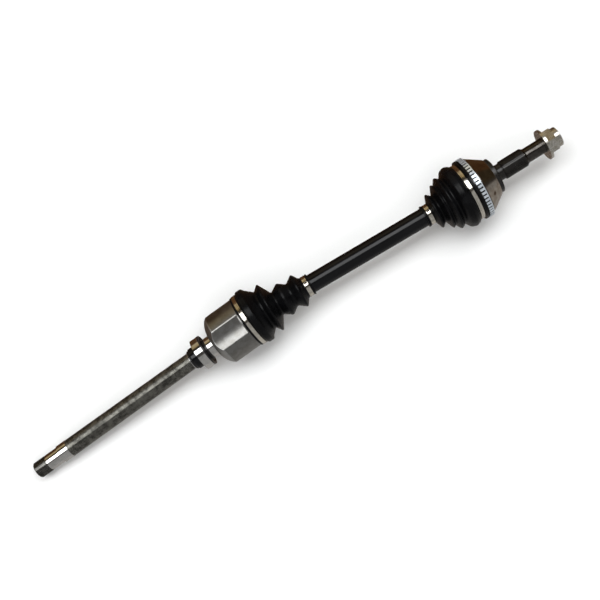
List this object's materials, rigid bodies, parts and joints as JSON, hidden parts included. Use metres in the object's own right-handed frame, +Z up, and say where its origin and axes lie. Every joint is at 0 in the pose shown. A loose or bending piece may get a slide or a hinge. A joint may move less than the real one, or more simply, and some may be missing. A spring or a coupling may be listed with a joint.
{
  "type": "cv axle",
  "caption": "Front drive axle: intermediate shaft with support bearing, plunging tripod joint, bar, booted ball joint, splined stub and hub nut.",
  "frame": {"origin": "on the stub's axis, in the plane of the hub seating shoulder", "axes": "+X along the stub towards the wheel, +Z up, with the axle lying on a floor"},
  "size_m": [0.968, 0.1101, 0.1048],
  "materials": {
    "rough_steel": "hot rolled bar with machined journals",
    "ground_steel": "ground and turned steel",
    "black_ring": "gloss black press fit ring",
    "bearing_steel": "polished bearing steel",
    "seal_rubber": "moulded seal lip",
    "boot_rubber": "matt black moulded boot",
    "clamp_steel": "stainless band",
    "bar_paint": "gloss black paint",
    "sensor_steel": "bright sintered ring",
    "bell_steel": "turned forged steel",
    "nut_plating": "yellow zinc plating"
  },
  "bodies": {
    "housing": {"inner_joint_housing": "rough_steel", "shaft_retaining_ring": "ground_steel", "dust_deflector": "black_ring", "bearing_inner_ring": "bearing_steel", "inner_boot_large_clamp": "clamp_steel", "thrust_spring": "ground_steel"},
    "bearing_outer": {"bearing_outer_ring": "bearing_steel", "bearing_seal_inboard": "seal_rubber", "bearing_seal_outboard": "seal_rubber"},
    "bearing_rolling": {"bearing_balls": "bearing_steel", "bearing_cage": "ground_steel"},
    "thrust_cup": {"thrust_cup": "ground_steel"},
    "inner_boot": {"inner_boot": "boot_rubber"},
    "drive_bar": {"drive_bar": "bar_paint", "tripod_spider": "ground_steel", "spider_circlip": "ground_steel", "roller_needles": "bearing_steel", "roller_clips": "ground_steel", "inner_boot_small_clamp": "clamp_steel", "outer_boot_small_clamp": "clamp_steel", "inner_race": "ground_steel", "inner_race_circlip": "ground_steel"},
    "roller_1": {"roller_1": "bearing_steel"},
    "roller_2": {"roller_2": "bearing_steel"},
    "roller_3": {"roller_3": "bearing_steel"},
    "outer_boot": {"outer_boot": "boot_rubber"},
    "ball_cage": {"ball_cage": "ground_steel", "drive_balls": "bearing_steel"},
    "bell": {"outer_joint_bell": "bell_steel", "abs_ring": "sensor_steel", "outer_boot_large_clamp": "clamp_steel"},
    "nut_washer": {"nut_washer": "nut_plating"},
    "hub_nut": {"hub_nut": "nut_plating"}
  },
  "joints": [
    {"name": "inner_plunge", "type": "slide", "parent": "housing", "child": "thrust_cup", "axis": [0.9946, 0.0654, 0.0811], "range_m": [-0.015, 0.005], "deforming": ["thrust_spring", "inner_boot"]},
    {"name": "inner_bend_up_down", "type": "hinge", "parent": "thrust_cup", "child": "inner_boot", "pos_m": [-0.45094, 0.00971, -0.00658], "axis": [-0.0656, 0.9978, 0], "range_deg": [-15.75, 8.25], "deforming": ["inner_boot"]},
    {"name": "inner_bend_sideways", "type": "hinge", "parent": "inner_boot", "child": "drive_bar", "pos_m": [-0.45094, 0.00971, -0.00658], "axis": [0, 0, 1], "range_deg": [-6.91, 17.09], "deforming": ["inner_boot"]},
    {"name": "outer_bend_up_down", "type": "hinge", "parent": "drive_bar", "child": "outer_boot", "pos_m": [-0.0325, 0, 0], "axis": [0.0232, 0.9997, 0], "range_deg": [-8.9, 7.1], "deforming": ["outer_boot"]},
    {"name": "outer_bend_steering", "type": "hinge", "parent": "outer_boot", "child": "bell", "pos_m": [-0.0325, 0, 0], "axis": [0, 0, 1], "range_deg": [-41.33, 38.67], "deforming": ["outer_boot"]},
    {"name": "ball_cage_half_angle", "type": "hinge", "parent": "outer_boot", "child": "ball_cage", "pos_m": [-0.0325, 0, 0], "axis": [0, 0, 1], "range_deg": [-20.66, 19.34]},
    {"name": "roller_1_spin", "type": "hinge", "parent": "drive_bar", "child": "roller_1", "pos_m": [-0.45056, 0.00971, -0.03057], "axis": [0.0157, -0.0004, -0.9999], "continuous": true},
    {"name": "roller_2_spin", "type": "hinge", "parent": "drive_bar", "child": "roller_2", "pos_m": [-0.45064, 0.0305, 0.00542], "axis": [0.0122, 0.866, 0.4999], "continuous": true},
    {"name": "roller_3_spin", "type": "hinge", "parent": "drive_bar", "child": "roller_3", "pos_m": [-0.45161, -0.01106, 0.00542], "axis": [-0.028, -0.8656, 0.4999], "continuous": true},
    {"name": "support_bearing_spin", "type": "hinge", "parent": "housing", "child": "bearing_outer", "pos_m": [-0.52901, 0.00458, -0.01294], "axis": [0.9946, 0.0654, 0.0811], "continuous": true},
    {"name": "support_bearing_balls_orbit", "type": "hinge", "parent": "housing", "child": "bearing_rolling", "pos_m": [-0.52901, 0.00458, -0.01294], "axis": [0.9946, 0.0654, 0.0811], "continuous": true},
    {"name": "washer_follows_nut", "type": "slide", "parent": "bell", "child": "nut_washer", "axis": [1, 0, 0], "range_m": [0, 0.018]},
    {"name": "hub_nut_screw", "type": "hinge", "parent": "nut_washer", "child": "hub_nut", "pos_m": [0.0985, 0, 0], "axis": [1, 0, 0], "range_deg": [0, 4320]}
  ],
  "couplings": [
    {"joint": "ball_cage_half_angle", "follows": "outer_bend_steering", "ratio": 0.5},
    {"joint": "support_bearing_balls_orbit", "follows": "support_bearing_spin", "ratio": 0.577},
    {"joint": "washer_follows_nut", "follows": "hub_nut_screw", "m_per_rad": 0.00023873}
  ]
}
